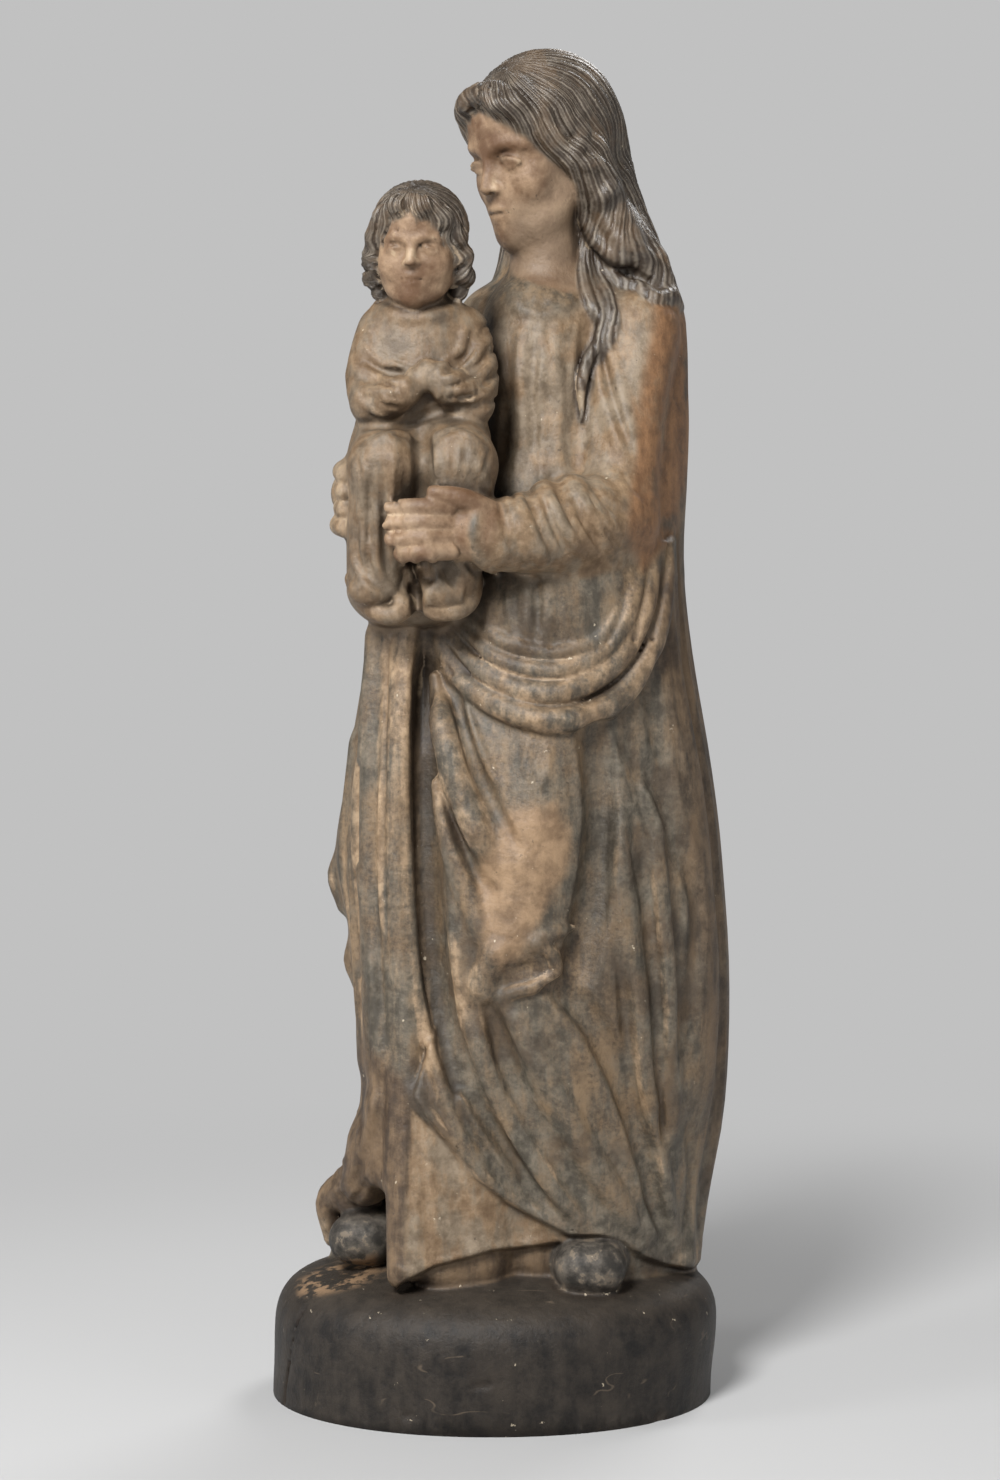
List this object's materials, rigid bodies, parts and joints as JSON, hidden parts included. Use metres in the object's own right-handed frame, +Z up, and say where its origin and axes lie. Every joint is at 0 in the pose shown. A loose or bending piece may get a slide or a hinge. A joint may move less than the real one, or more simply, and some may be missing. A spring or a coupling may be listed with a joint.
{
  "type": "virgin and child statue",
  "caption": "Carved and painted wooden figure of a standing mother in a long mantle holding a seated child on her arm, on an oval plinth.",
  "frame": {"origin": "centre of the plinth's flat underside", "axes": "+Z up, -Y towards the front, the side the child faces, +X towards the mother's near arm, the viewer's right"},
  "size_m": [0.3422, 0.282, 0.9972],
  "materials": {
    "carved_wood": "worn paint on carved wood, matt with slightly glossy worn edges"
  },
  "bodies": {
    "root": {"virgin_and_child": "carved_wood"}
  },
  "joints": []
}
